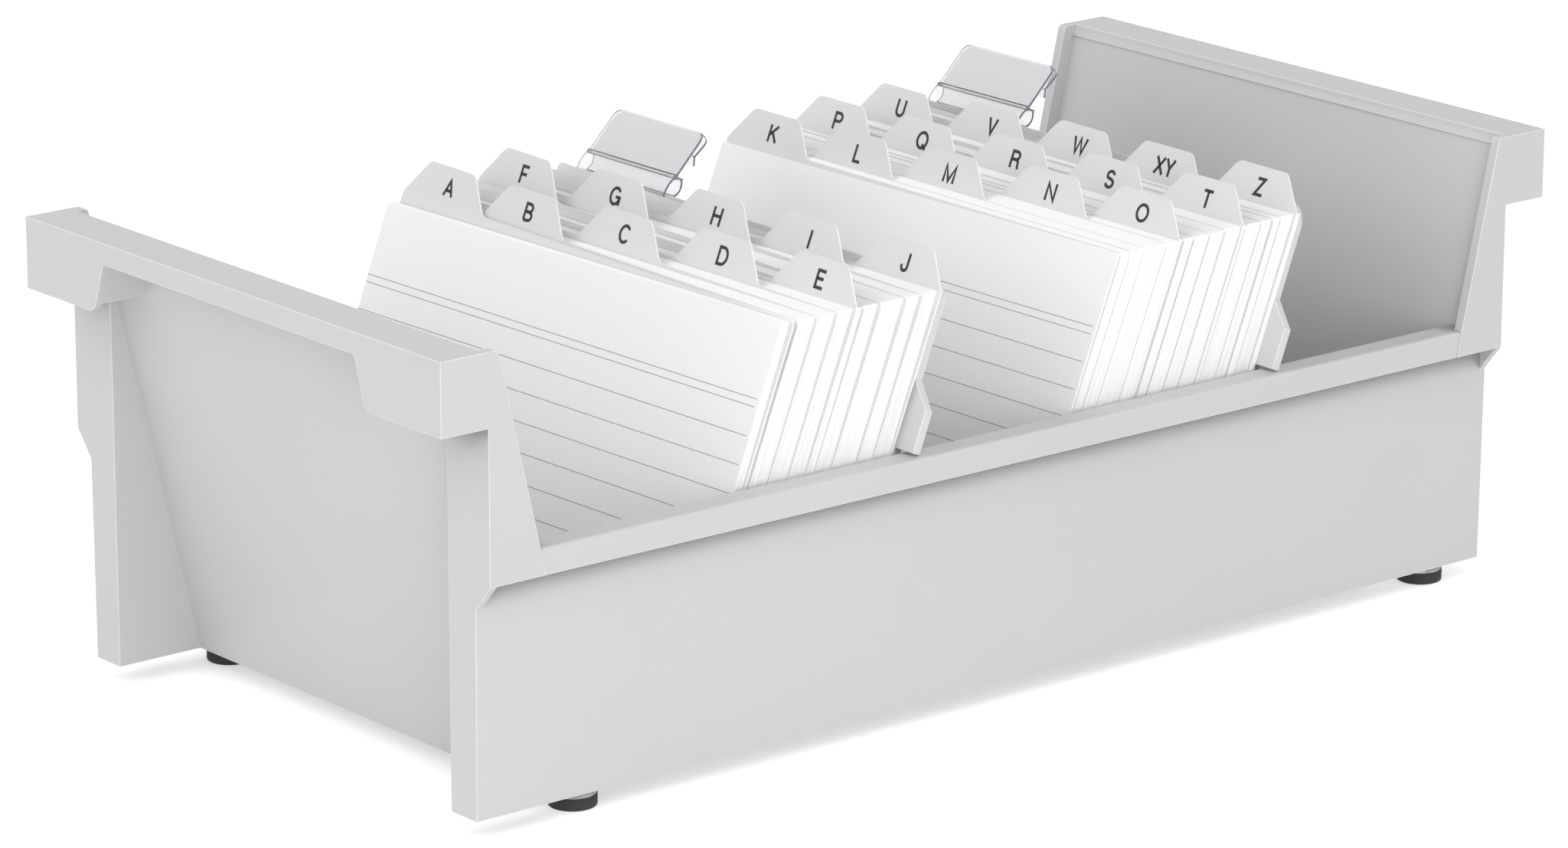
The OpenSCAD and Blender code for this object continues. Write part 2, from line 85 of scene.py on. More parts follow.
def finishMaterial(tree, shader):
    out = tree.nodes.new("ShaderNodeOutputMaterial")
    tree.links.new(shader, out.inputs["Surface"])


def perMetre(sizeMm):
    # a noise node's scale for features of a real size
    return 1 / (sizeMm * mm)


squareOn = 0.6   # a normal's share along an axis from which a surface counts as facing that way


def cutEdgeMask(tree, coords):
    # one where a thin sheet shows its cut edge at the sides or the top, zero on its faces; it masks the
    # painted light on those edges
    split = addNode(tree, "ShaderNodeSeparateXYZ", None, {0: coords.outputs["Normal"]})
    side = addNode(tree, "ShaderNodeMath", {"operation": "ABSOLUTE"}, {0: split.outputs["X"]})
    both = addNode(tree, "ShaderNodeMath", {"operation": "MAXIMUM"},
                   {0: side.outputs[0], 1: split.outputs["Z"]})
    cut = addNode(tree, "ShaderNodeMath", {"operation": "GREATER_THAN"}, {0: both.outputs[0], 1: squareOn})
    return cut.outputs[0]


def seenMask(tree):
    # one for rays that come from the camera straight, mirrored or through clear plastic
    path = addNode(tree, "ShaderNodeLightPath")
    seen = addNode(tree, "ShaderNodeMath", {"operation": "MAXIMUM"},
                   {0: path.outputs["Is Camera Ray"], 1: path.outputs["Is Glossy Ray"]})
    seen = addNode(tree, "ShaderNodeMath", {"operation": "MAXIMUM"},
                   {0: seen.outputs[0], 1: path.outputs["Is Transmission Ray"]})
    return seen.outputs[0]


def objectFromMesh(name, verts, faces, body, material, uvs=None):
    mesh = bpy.data.meshes.new(name)
    mesh.from_pydata(verts, [], faces)
    if uvs:
        layer = mesh.uv_layers.new(name="cardMm")
        for loop in mesh.loops:
            layer.data[loop.index].uv = uvs[loop.vertex_index]
    mesh.update()
    obj = bpy.data.objects.new(name, mesh)
    scene.collection.objects.link(obj)
    mesh.materials.append(material)
    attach(obj, body)
    return obj


def arcPoints(cx, cy, rx, ry, start, end, steps=12):
    turns = [math.radians(start + (end - start) * k / steps) for k in range(steps + 1)]
    return [(cx + rx * math.cos(turn), cy + ry * math.sin(turn)) for turn in turns]


def planeOf(obj):
    # the front face of a guide or pack: a point, the ways right and up along it, and the way out.
    # the way right is the face's longest edge that runs nearly level, its foot on a wide sheet
    best = max((f for f in obj.data.polygons if f.normal.y < -0.5), key=lambda f: f.area)
    out = best.normal.copy()
    verts = [v.co for v in obj.data.vertices]
    level = []
    for edge in obj.data.edges:
        way = verts[edge.vertices[1]] - verts[edge.vertices[0]]
        if abs(way.x) > 0.97 * way.length and abs(way.dot(out)) < 0.01 * mm:
            level.append(way if way.x > 0 else -way)
    side = max(level, key=lambda way: way.length).normalized()
    return best.center.copy(), side, out.cross(side).normalized(), out


def paint(nodeName, material):
    obj = nodes[nodeName]
    if not obj.data.materials:
        obj.data.materials.append(material)
    for k in range(len(obj.data.materials)):
        obj.data.materials[k] = material


# camera

cameraSettings = {
    "place": (1.2048, -0.9996, 0.5076),  # metres, from the corner fit of the photograph
    "azimuth": 50.51,
    "elevation": 16.21,
    "roll": 0.14,
    "lens": 150.92,
}


def makeCamera(s):
    a, e, r = (math.radians(s[k]) for k in ("azimuth", "elevation", "roll"))
    back = Vector((math.sin(a) * math.cos(e), -math.cos(a) * math.cos(e), math.sin(e)))
    right = Vector((math.cos(a), math.sin(a), 0))
    up = back.cross(right)
    right, up = math.cos(r) * right + math.sin(r) * up, -math.sin(r) * right + math.cos(r) * up
    data = bpy.data.cameras.new("camera")
    data.sensor_width = 36
    data.lens = s["lens"]
    data.clip_end = 20
    cam = bpy.data.objects.new("camera", data)
    turn = Matrix((right, up, back)).transposed().to_4x4()
    cam.matrix_world = Matrix.Translation(Vector(s["place"])) @ turn
    scene.collection.objects.link(cam)
    scene.camera = cam


makeCamera(cameraSettings)
print("camera placed")

# light, world and floor

lightSettings = {
    "ambientSide": 0.86,   # what the room gives from its walls
    "ambientTop": 0.43,    # and from its ceiling; what is seen of it stays white
    # places in metres; each softbox faces the trough's middle
    "softboxes": {
        "nearSoftbox": {"power": 5.0, "place": (1.35, -0.68, 0.2), "size": 0.6},
        "sideSoftbox": {"power": 6.2, "place": (1.0, -0.3, 1.3), "size": 0.9},
        "frontSoftbox": {"power": 5.7, "place": (-0.3, -1.25, 1.05), "size": 1.3},
    },
    "aim": (0, 0, 0.05),
    "floorColour": "#FCFCFC",
    "floorGlow": 0.45,     # lifts the floor to white, its shadow stays
    "floorSize": 6,
}


def makeSoftbox(name, s, aim):
    data = bpy.data.lights.new(name, "AREA")
    data.shape = "SQUARE"
    data.size = s["size"]
    data.energy = s["power"]
    lamp = bpy.data.objects.new(name, data)
    lamp.location = s["place"]
    lamp.rotation_euler = (lamp.location - Vector(aim)).to_track_quat("Z", "Y").to_euler()
    scene.collection.objects.link(lamp)


def makeLight(s):
    for name, box in s["softboxes"].items():
        makeSoftbox(name, box, s["aim"])
    world = bpy.data.worlds.new("studio")
    scene.world = world
    world.use_nodes = True
    tree = world.node_tree
    tree.nodes.clear()
    direction = addNode(tree, "ShaderNodeTexCoord").outputs["Generated"]
    height = addNode(tree, "ShaderNodeSeparateXYZ", None, {0: direction}).outputs["Z"]
    room = addNode(tree, "ShaderNodeMapRange", None,
                   {"Value": height, "To Min": s["ambientSide"], "To Max": s["ambientTop"]})
    level = addNode(tree, "ShaderNodeMapRange", None,
                    {"Value": seenMask(tree), "To Min": room.outputs["Result"], "To Max": 1.0})
    sky = addNode(tree, "ShaderNodeBackground", None,
                  {"Color": (1, 1, 1, 1), "Strength": level.outputs["Result"]})
    out = tree.nodes.new("ShaderNodeOutputWorld")
    tree.links.new(sky.outputs[0], out.inputs["Surface"])


def makeFloor(s):
    half = s["floorSize"] / 2
    mesh = bpy.data.meshes.new("floor")
    mesh.from_pydata([(-half, -half, 0), (half, -half, 0), (half, half, 0), (-half, half, 0)], [],
                     [(0, 1, 2, 3)])
    floor = bpy.data.objects.new("floor", mesh)
    scene.collection.objects.link(floor)
    mat, tree = newMaterial("paperBackdrop")  # matt backdrop paper, seen as white
    paper = addNode(tree, "ShaderNodeBsdfDiffuse", None, {"Color": hexToLinear(s["floorColour"])})
    glowLevel = addNode(tree, "ShaderNodeMath", {"operation": "MULTIPLY"},
                        {0: seenMask(tree), 1: s["floorGlow"]})
    glow = addNode(tree, "ShaderNodeEmission", None, {"Strength": glowLevel.outputs[0]})
    both = addNode(tree, "ShaderNodeAddShader", None, {0: paper.outputs[0], 1: glow.outputs[0]})
    finishMaterial(tree, both.outputs[0])
    mesh.materials.append(mat)


makeLight(lightSettings)
makeFloor(lightSettings)
print("light and floor made")

# materials

plasticSettings = {
    "trough": {"colour": "#CCCCCC", "roughness": 0.42, "grainMm": 0.5, "grain": 0.10},
    # the plates are drawn lighter than the trough: painted light for the side light on them
    "plate": {"colour": "#D6D6D6", "roughness": 0.38, "grainMm": 0.5, "grain": 0.08},
    "grainDeepMm": 0.05,
    "tone": 0.035,              # how far the colour drifts over a moulding
    "toneMm": 60,
    "edgeMm": 0.35,             # reach of the painted highlight along an edge
    "edgeSamples": 6,
    "edgeTurn": (0.995, 0.93),  # how far the normal turns (cosine) from no painted highlight to a full one
    "edgeHighlight": 1.0,           # how far a full painted highlight goes towards white
    "cornerMm": 0.5,            # near an inner corner there is no painted highlight
    "cornerSamples": 6,
    "cornerOpen": (0.8, 0.97),  # openness of a spot, from a corner to a free edge
    "shadeMm": 16,              # how far the painted shade under the rims and lugs looks around itself
    "shadeSamples": 16,
    "shadeOpen": (0.73, 0.86),  # openness of a spot, from full shade to none
    "shade": 0.5,
    "shadeFromMm": 68.4,        # it is kept to what faces outwards, beyond this from the middle
}


def mouldedPolystyrene(name, s, shared):
    # impact polystyrene, injection moulded in a spark-textured tool: satin, a fine even grain,
    # painted highlights along the edges and a slow drift of tone where the melt flowed. Under the
    # rims and lugs it is darker, painted shade which stands in for the shadow line that the photograph
    # shows there
    mat, tree = newMaterial(name)
    coords = addNode(tree, "ShaderNodeTexCoord")
    place = coords.outputs["Object"]
    flow = addNode(tree, "ShaderNodeTexNoise", None,
                   {"Vector": place, "Scale": perMetre(shared["toneMm"]), "Detail": 3.0, "Roughness": 0.55})
    low, high = toneRange(s["colour"], shared["tone"])
    tone = addNode(tree, "ShaderNodeMix", {"data_type": "RGBA"},
                   {0: flow.outputs["Fac"], 6: low, 7: high})
    grain = addNode(tree, "ShaderNodeTexNoise", None,
                    {"Vector": place, "Scale": perMetre(s["grainMm"]), "Detail": 2.0, "Roughness": 0.6})
    edge = addNode(tree, "ShaderNodeBevel", {"samples": shared["edgeSamples"]},
                   {"Radius": shared["edgeMm"] * mm})
    bump = addNode(tree, "ShaderNodeBump", None,
                   {"Strength": s["grain"], "Distance": shared["grainDeepMm"] * mm,
                    "Height": grain.outputs["Fac"], "Normal": edge.outputs["Normal"]})
    shine = addNode(tree, "ShaderNodeMapRange", None,
                    {"Value": grain.outputs["Fac"], "To Min": s["roughness"] - 0.05,
                     "To Max": s["roughness"] + 0.07})

    # the painted shade under the rims and lugs: enclosed spots, on the outside of the trough alone
    around = addNode(tree, "ShaderNodeAmbientOcclusion",
                     {"samples": shared["shadeSamples"], "only_local": True},
                     {"Distance": shared["shadeMm"] * mm})
    enclosed = addNode(tree, "ShaderNodeMapRange", None,
                       {"Value": around.outputs["AO"], "From Min": shared["shadeOpen"][0],
                        "From Max": shared["shadeOpen"][1], "To Min": shared["shade"], "To Max": 0.0})
    across = addNode(tree, "ShaderNodeSeparateXYZ", None, {0: place}).outputs["X"]
    fromMiddle = addNode(tree, "ShaderNodeMath", {"operation": "ABSOLUTE"}, {0: across})
    wide = addNode(tree, "ShaderNodeMath", {"operation": "GREATER_THAN"},
                   {0: fromMiddle.outputs[0], 1: shared["shadeFromMm"] * mm})
    facing = addNode(tree, "ShaderNodeVectorMath", {"operation": "DOT_PRODUCT"},
                     {0: place, 1: coords.outputs["Normal"]})
    outer = addNode(tree, "ShaderNodeMath", {"operation": "GREATER_THAN"},
                    {0: facing.outputs["Value"], 1: 0.0})
    outside = addNode(tree, "ShaderNodeMath", {"operation": "MULTIPLY"},
                      {0: wide.outputs[0], 1: outer.outputs[0]})
    dark = addNode(tree, "ShaderNodeMath", {"operation": "MULTIPLY"},
                   {0: enclosed.outputs["Result"], 1: outside.outputs[0]})
    lit = addNode(tree, "ShaderNodeMath", {"operation": "SUBTRACT"}, {0: 1.0, 1: dark.outputs[0]})
    shaded = addNode(tree, "ShaderNodeVectorMath", {"operation": "SCALE"},
                     {0: tone.outputs[2], "Scale": lit.outputs[0]})

    # the painted highlights: where the rounded normal turns away from the face's own, but not in corners
    flat = addNode(tree, "ShaderNodeNewGeometry").outputs["Normal"]
    turned = addNode(tree, "ShaderNodeVectorMath", {"operation": "DOT_PRODUCT"},
                     {0: edge.outputs["Normal"], 1: flat})
    onEdge = addNode(tree, "ShaderNodeMapRange", None,
                     {"Value": turned.outputs["Value"], "From Min": shared["edgeTurn"][0],
                      "From Max": shared["edgeTurn"][1], "To Min": 0.0, "To Max": shared["edgeHighlight"]})
    near = addNode(tree, "ShaderNodeAmbientOcclusion",
                   {"samples": shared["cornerSamples"], "only_local": True},
                   {"Distance": shared["cornerMm"] * mm})
    free = addNode(tree, "ShaderNodeMapRange", None,
                   {"Value": near.outputs["AO"], "From Min": shared["cornerOpen"][0],
                    "From Max": shared["cornerOpen"][1]})
    highlight = addNode(tree, "ShaderNodeMath", {"operation": "MULTIPLY"},
                   {0: onEdge.outputs["Result"], 1: free.outputs["Result"]})
    highlighted = addNode(tree, "ShaderNodeMix", {"data_type": "RGBA"},
                    {0: highlight.outputs[0], 6: shaded.outputs[0], 7: (1, 1, 1, 1)})
    skin = addNode(tree, "ShaderNodeBsdfPrincipled", None,
                   {"Base Color": highlighted.outputs[2], "Roughness": shine.outputs["Result"], "IOR": 1.59,
                    "Specular IOR Level": 0.4, "Normal": bump.outputs["Normal"]})
    finishMaterial(tree, skin.outputs[0])
    return mat


rubberSettings = {"colour": "#2C2C2D", "dustColour": "#3A3A3B", "roughness": 0.75, "grainMm": 0.25}


def mouldedRubber(s):
    # soft nitrile rubber from a matt mould: near black, dull, slightly dusty
    mat, tree = newMaterial("mouldedRubber")
    place = addNode(tree, "ShaderNodeTexCoord").outputs["Object"]
    dust = addNode(tree, "ShaderNodeTexNoise", None,
                   {"Vector": place, "Scale": perMetre(s["grainMm"]), "Detail": 3.0})
    tone = addNode(tree, "ShaderNodeMix", {"data_type": "RGBA"},
                   {0: dust.outputs["Fac"], 6: hexToLinear(s["colour"]), 7: hexToLinear(s["dustColour"])})
    bump = addNode(tree, "ShaderNodeBump", None,
                   {"Strength": 0.3, "Distance": 0.05 * mm, "Height": dust.outputs["Fac"]})
    skin = addNode(tree, "ShaderNodeBsdfPrincipled", None,
                   {"Base Color": tone.outputs[2], "Roughness": s["roughness"], "IOR": 1.52,
                    "Normal": bump.outputs["Normal"]})
    finishMaterial(tree, skin.outputs[0])
    return mat


guideSettings = {
    "colour": "#DEDEDF",
    # the cut edges are drawn near white: painted light
    "paintedLitEdgeColour": "#FCFCFC",
    "roughness": 0.5,
    "grainMm": 0.35,
    "fleck": 0.02,
}


def calenderedPressboard(s):
    # grey guide sheet, calendered smooth: even tone, a hint of fibre, low sheen
    mat, tree = newMaterial("calenderedPressboard")
    coords = addNode(tree, "ShaderNodeTexCoord")
    fibre = addNode(tree, "ShaderNodeTexNoise", None,
                    {"Vector": coords.outputs["Object"], "Scale": perMetre(s["grainMm"]), "Detail": 4.0,
                     "Roughness": 0.7})
    low, high = toneRange(s["colour"], s["fleck"])
    tone = addNode(tree, "ShaderNodeMix", {"data_type": "RGBA"},
                   {0: fibre.outputs["Fac"], 6: low, 7: high})
    # painted light: the cut edges at the sides and the top are mixed towards near white
    tone = addNode(tree, "ShaderNodeMix", {"data_type": "RGBA"},
                   {0: cutEdgeMask(tree, coords), 6: tone.outputs[2], 7: hexToLinear(s["paintedLitEdgeColour"])})
    bump = addNode(tree, "ShaderNodeBump", None,
                   {"Strength": 0.08, "Distance": 0.04 * mm, "Height": fibre.outputs["Fac"]})
    skin = addNode(tree, "ShaderNodeBsdfPrincipled", None,
                   {"Base Color": tone.outputs[2], "Roughness": s["roughness"], "IOR": 1.5,
                    "Specular IOR Level": 0.35, "Normal": bump.outputs["Normal"]})
    finishMaterial(tree, skin.outputs[0])
    return mat


cardSettings = {
    "colour": "#F9F9FA",
    # the cut edges are drawn whiter than the faces: painted light
    "paintedLitEdgeColour": "#FFFFFF",
    "roughness": 0.75,
    "fibreMm": 0.3,
    "fleck": 0.012,
    "inkColour": "#9FA0A2",
    "lineMm": 0.2,       # half of it to each side of a rule's middle
    "headMm": 18.25,     # the double line under the heading, from the card's top edge
    "headGapMm": 1.9,
    "pitchMm": 6.95,     # of the rules below
    "firstMm": 27.1,
    "askew": 0.003,      # the rules fall a little towards the right
    "marginMm": 1.1,     # left clear at the right-hand end
    "cardWidth": 148,
    "cardHeight": 105,
}


def ruledCardStock(s):
    # uncoated card, offset ruled: chalky white with a fine tooth, hairline grey rules
    mat, tree = newMaterial("ruledCardStock")
    coords = addNode(tree, "ShaderNodeTexCoord")
    fibre = addNode(tree, "ShaderNodeTexNoise", None,
                    {"Vector": coords.outputs["Object"], "Scale": perMetre(s["fibreMm"]), "Detail": 4.0,
                     "Roughness": 0.65})
    low, high = toneRange(s["colour"], s["fleck"])
    tone = addNode(tree, "ShaderNodeMix", {"data_type": "RGBA"},
                   {0: fibre.outputs["Fac"], 6: low, 7: high})
    split = addNode(tree, "ShaderNodeSeparateXYZ", None,
                    {0: addNode(tree, "ShaderNodeUVMap", {"uv_map": "cardMm"}).outputs["UV"]})
    # the rules, in mm across and down the card: each step is a name, an operation and its values
    half = s["lineMm"] / 2
    start = s["firstMm"] - s["pitchMm"] / 2
    steps = [
        ("fall", "MULTIPLY", "across", s["askew"]),
        ("down", "SUBTRACT", "y", "fall"),
        ("upperHead", "COMPARE", "down", s["headMm"], half),
        ("lowerHead", "COMPARE", "down", s["headMm"] + s["headGapMm"], half),
        ("heads", "MAXIMUM", "upperHead", "lowerHead"),
        ("fromStart", "SUBTRACT", "down", start),
        ("phase", "MODULO", "fromStart", s["pitchMm"]),
        ("onRule", "COMPARE", "phase", s["pitchMm"] / 2, half),
        ("belowStart", "GREATER_THAN", "down", start),
        ("rules", "MULTIPLY", "onRule", "belowStart"),
        ("lines", "MAXIMUM", "heads", "rules"),
        ("inPrint", "LESS_THAN", "across", s["cardWidth"] - s["marginMm"]),
        ("ink", "MULTIPLY", "lines", "inPrint"),
    ]
    made = {"across": split.outputs["X"], "y": split.outputs["Y"]}
    for name, operation, *values in steps:
        inputs = {k: made.get(value, value) for k, value in enumerate(values)}
        made[name] = addNode(tree, "ShaderNodeMath", {"operation": operation}, inputs).outputs[0]
    printed = addNode(tree, "ShaderNodeMix", {"data_type": "RGBA"},
                      {0: made["ink"], 6: tone.outputs[2], 7: hexToLinear(s["inkColour"])})
    # the guillotined edges get painted light, whiter than the faces, but for a card here and there,
    # the first of a bundle, which gets painted shade instead: makePack draws each card's share of white
    share = addNode(tree, "ShaderNodeAttribute", {"attribute_name": "edgeLightAndShade"}).outputs["Fac"]
    paintedEdgeTone = addNode(tree, "ShaderNodeMix", {"data_type": "RGBA"},
                       {0: share, 6: (0, 0, 0, 1), 7: hexToLinear(s["paintedLitEdgeColour"])})
    printed = addNode(tree, "ShaderNodeMix", {"data_type": "RGBA"},
                      {0: cutEdgeMask(tree, coords), 6: printed.outputs[2], 7: paintedEdgeTone.outputs[2]})
    bump = addNode(tree, "ShaderNodeBump", None,
                   {"Strength": 0.12, "Distance": 0.04 * mm, "Height": fibre.outputs["Fac"]})
    skin = addNode(tree, "ShaderNodeBsdfPrincipled", None,
                   {"Base Color": printed.outputs[2], "Roughness": s["roughness"], "IOR": 1.45,
                    "Specular IOR Level": 0.3, "Normal": bump.outputs["Normal"]})
    finishMaterial(tree, skin.outputs[0])
    return mat


clearSettings = {
    "colour": "#E8E9EA",
    "grazeShadeColour": "#8C90A2",   # painted shade where the eye looks along the wall
    "graze": (0.72, 0.97),      # from none of that colour to all of it, 1 being edge on
    "endShadeColour": "#8A8EA2",     # painted shade on the cut ends
    "endShare": 0.75,
    "endRoughness": 0.35,
    "roughness": 0.06,
    "ior": 1.49,
    "lineMm": 0.8,              # the die lines' width, drawn out along the length
    "lineStretch": 0.02,
    "throughLight": 0.95,
}


def extrudedClearPlastic(s):
    # clear cellulose plastic, extruded: glossy, faint die lines along its length, and painted
    # blue-grey shade on the walls where the eye looks along them and on their cut ends
    mat, tree = newMaterial("extrudedClearPlastic")
    coords = addNode(tree, "ShaderNodeTexCoord")
    stretched = addNode(tree, "ShaderNodeMapping", None,
                        {"Vector": coords.outputs["Object"], "Scale": (s["lineStretch"], 1, 1)})
    lines = addNode(tree, "ShaderNodeTexNoise", None,
                    {"Vector": stretched.outputs[0], "Scale": perMetre(s["lineMm"]), "Detail": 2.0})
    bump = addNode(tree, "ShaderNodeBump", None,
                   {"Strength": 0.05, "Distance": 0.05 * mm, "Height": lines.outputs["Fac"]})
    facing = addNode(tree, "ShaderNodeLayerWeight", None, {"Blend": 0.5}).outputs["Facing"]
    graze = addNode(tree, "ShaderNodeMapRange", None,
                    {"Value": facing, "From Min": s["graze"][0], "From Max": s["graze"][1]})
    tint = addNode(tree, "ShaderNodeMix", {"data_type": "RGBA"},
                   {0: graze.outputs["Result"], 6: hexToLinear(s["colour"]),
                    7: hexToLinear(s["grazeShadeColour"])})
    wall = addNode(tree, "ShaderNodeBsdfPrincipled", None,
                   {"Base Color": tint.outputs[2], "Roughness": s["roughness"], "IOR": s["ior"],
                    "Transmission Weight": 1.0, "Normal": bump.outputs["Normal"]})
    cutEnd = addNode(tree, "ShaderNodeBsdfPrincipled", None,
                     {"Base Color": hexToLinear(s["endShadeColour"]), "Roughness": s["endRoughness"],
                      "IOR": s["ior"]})
    split = addNode(tree, "ShaderNodeSeparateXYZ", None, {0: coords.outputs["Normal"]})
    side = addNode(tree, "ShaderNodeMath", {"operation": "ABSOLUTE"}, {0: split.outputs["X"]})
    atEnd = addNode(tree, "ShaderNodeMath", {"operation": "GREATER_THAN"},
                    {0: side.outputs[0], 1: squareOn})
    share = addNode(tree, "ShaderNodeMath", {"operation": "MULTIPLY"},
                    {0: atEnd.outputs[0], 1: s["endShare"]})
    skin = addNode(tree, "ShaderNodeMixShader", None,
                   {0: share.outputs[0], 1: wall.outputs[0], 2: cutEnd.outputs[0]})
    # thin clear walls throw next to no shadow, so light reaches the slip through them
    path = addNode(tree, "ShaderNodeLightPath")
    hidden = addNode(tree, "ShaderNodeMath", {"operation": "MAXIMUM"},
                     {0: path.outputs["Is Shadow Ray"], 1: path.outputs["Is Diffuse Ray"]})
    through = s["throughLight"]
    passing = addNode(tree, "ShaderNodeBsdfTransparent", None, {"Color": (through, through, through, 1)})
    both = addNode(tree, "ShaderNodeMixShader", None,
                   {0: hidden.outputs[0], 1: skin.outputs[0], 2: passing.outputs[0]})
    finishMaterial(tree, both.outputs[0])
    return mat


inkSettings = {"colour": "#1C1C1D", "thinColour": "#2A2A2B", "roughness": 0.5, "meshMm": 0.3}


def printingInk(s):
    # screen-printed black ink: dense, slightly uneven where the mesh left its mark
    mat, tree = newMaterial("screenInk")
    place = addNode(tree, "ShaderNodeTexCoord").outputs["Object"]
    mesh = addNode(tree, "ShaderNodeTexNoise", None,
                   {"Vector": place, "Scale": perMetre(s["meshMm"]), "Detail": 2.0})
    tone = addNode(tree, "ShaderNodeMix", {"data_type": "RGBA"},
                   {0: mesh.outputs["Fac"], 6: hexToLinear(s["colour"]), 7: hexToLinear(s["thinColour"])})
    skin = addNode(tree, "ShaderNodeBsdfPrincipled", None,
                   {"Base Color": tone.outputs[2], "Roughness": s["roughness"], "IOR": 1.5})
    finishMaterial(tree, skin.outputs[0])
    return mat


labelSettings = {"colour": "#FAFAFA", "fleck": 0.03, "fibreMm": 0.4, "roughness": 0.8}


def labelPaper(s):
    # a blank slip of thin uncoated card: white and matt, with a hint of fibre
    mat, tree = newMaterial("labelPaper")
    place = addNode(tree, "ShaderNodeTexCoord").outputs["Object"]
    fibre = addNode(tree, "ShaderNodeTexNoise", None,
                    {"Vector": place, "Scale": perMetre(s["fibreMm"]), "Detail": 4.0})
    tone = addNode(tree, "ShaderNodeMix", {"data_type": "RGBA"},
                   {0: fibre.outputs["Fac"], 6: toneRange(s["colour"], s["fleck"])[0],
                    7: hexToLinear(s["colour"])})
    skin = addNode(tree, "ShaderNodeBsdfPrincipled", None,
                   {"Base Color": tone.outputs[2], "Roughness": s["roughness"], "IOR": 1.45})
    finishMaterial(tree, skin.outputs[0])
    return mat


troughPlastic = mouldedPolystyrene("mouldedPolystyrene", plasticSettings["trough"], plasticSettings)
platePlastic = mouldedPolystyrene("paintedLightPlatePolystyrene", plasticSettings["plate"], plasticSettings)
rubber = mouldedRubber(rubberSettings)
guideBoard = calenderedPressboard(guideSettings)
cardStock = ruledCardStock(cardSettings)
clearPlastic = extrudedClearPlastic(clearSettings)
blackInk = printingInk(inkSettings)
slipPaper = labelPaper(labelSettings)

paint("trough", troughPlastic)
paint("feet", rubber)
for end in ("front", "rear"):
    paint(end + "_support", platePlastic)
    paint(end + "_rider", clearPlastic)
    paint(end + "_label", slipPaper)
for name in nodes:
    if name.startswith("guide_"):
        paint(name, guideBoard)
print("materials made")

# the slips in the riders, and the feet

slipSettings = {
    "leftMm": 1.2,       # how far the slip goes past its CAD node at each side
    "rightMm": -0.15,
    "topMm": 0.4,
    "cornerMm": 2.4,     # radius of its upper corners
    "cornerSteps": 8,
}


def makeSlip(end, s):
    node = nodes[end + "_label"]
    centre, _, _, out = planeOf(node)
    side = Vector((1, 0, 0))      # square to the trough: on so small a face planeOf finds a diagonal
    up = out.cross(side).normalized()
    places = [v.co - centre for v in node.data.vertices]
    left = min(p.dot(side) for p in places) - s["leftMm"] * mm
    right = max(p.dot(side) for p in places) + s["rightMm"] * mm
    low = min(p.dot(up) for p in places)
    high = max(p.dot(up) for p in places) + s["topMm"] * mm
    back = min(p.dot(out) for p in places)
    r = s["cornerMm"] * mm
    outline = [(left, low), (right, low), *arcPoints(right - r, high - r, r, r, 0, 90, s["cornerSteps"]),
               *arcPoints(left + r, high - r, r, r, 90, 180, s["cornerSteps"])]
    points = [centre + side * x + up * y + out * d for d in (0, back) for x, y in outline]
    n = len(outline)
    faces = [tuple(range(n)), tuple(reversed(range(n, 2 * n)))]
    faces += [(k, k + n, (k + 1) % n + n, (k + 1) % n) for k in range(n)]
    slip = objectFromMesh(end + "_slip", points, faces, end + "_label", slipPaper)
    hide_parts(end + "_label")


footSettings = {
    "radiusMm": 5.8,
    "edgeMm": 0.5,       # rounding of the sole's rim
    "edgeSteps": 6,
    "lipMm": 0.1,        # chamfer of the upper rim
    "sleeveMm": 3.0,     # the rubber is drawn up over the boss this far
    "boreMm": 5.58,      # radius inside the sleeve
    "soleMm": 1.72,
    "steps": 48,
}


def makeFeet(s):
    # rubber cups drawn over the bosses, one at each foot of the CAD node, turned from one profile
    verts = [v.co for v in nodes["feet"].data.vertices]
    radius, rim, lip, steps = s["radiusMm"], s["edgeMm"], s["lipMm"], s["steps"]
    profile = [*arcPoints(radius - rim, rim, rim, rim, 270, 360, s["edgeSteps"]),
               (radius, s["sleeveMm"] - lip), (radius - lip, s["sleeveMm"]),
               (s["boreMm"], s["sleeveMm"]), (s["boreMm"], s["soleMm"])]
    row = len(profile)
    points, faces = [], []
    for sx in (-1, 1):
        for sy in (-1, 1):
            own = [v for v in verts if v.x * sx > 0 and v.y * sy > 0]
            x = (min(v.x for v in own) + max(v.x for v in own)) / 2
            y = (min(v.y for v in own) + max(v.y for v in own)) / 2
            first = len(points)
            for k in range(steps):
                turn = 2 * math.pi * k / steps
                points += [(x + r * mm * math.cos(turn), y + r * mm * math.sin(turn), z * mm)
                           for r, z in profile]
            below, inside = len(points), len(points) + 1
            points += [(x, y, 0), (x, y, s["soleMm"] * mm)]
            for k in range(steps):
                a = first + k * row
                b = first + (k + 1) % steps * row
                faces += [(a + j, b + j, b + j + 1, a + j + 1) for j in range(row - 1)]
                faces += [(below, b, a), (inside, a + row - 1, b + row - 1)]
    cups = objectFromMesh("rubber_cups", points, faces, "trough", rubber)
    for face in cups.data.polygons:
        face.use_smooth = True
    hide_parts("feet")


# letters on the guides' tabs

letterSettings = {
    "heightMm": 4.75,      # cap height with the stroke
    "strokeMm": 0.82,
    "acrossMm": 0.85,      # the letters stand a little to the right of the tabs' middles
    "belowMm": 5.2,        # and their middles this far below the tabs' tops
    "crestMm": 0.05,       # what lies this near to a tab's highest point is its top edge
    "riseMm": 0.02,        # how far the ink stands off the sheet
    "gap": 0.18,           # between two letters, in cap heights
}

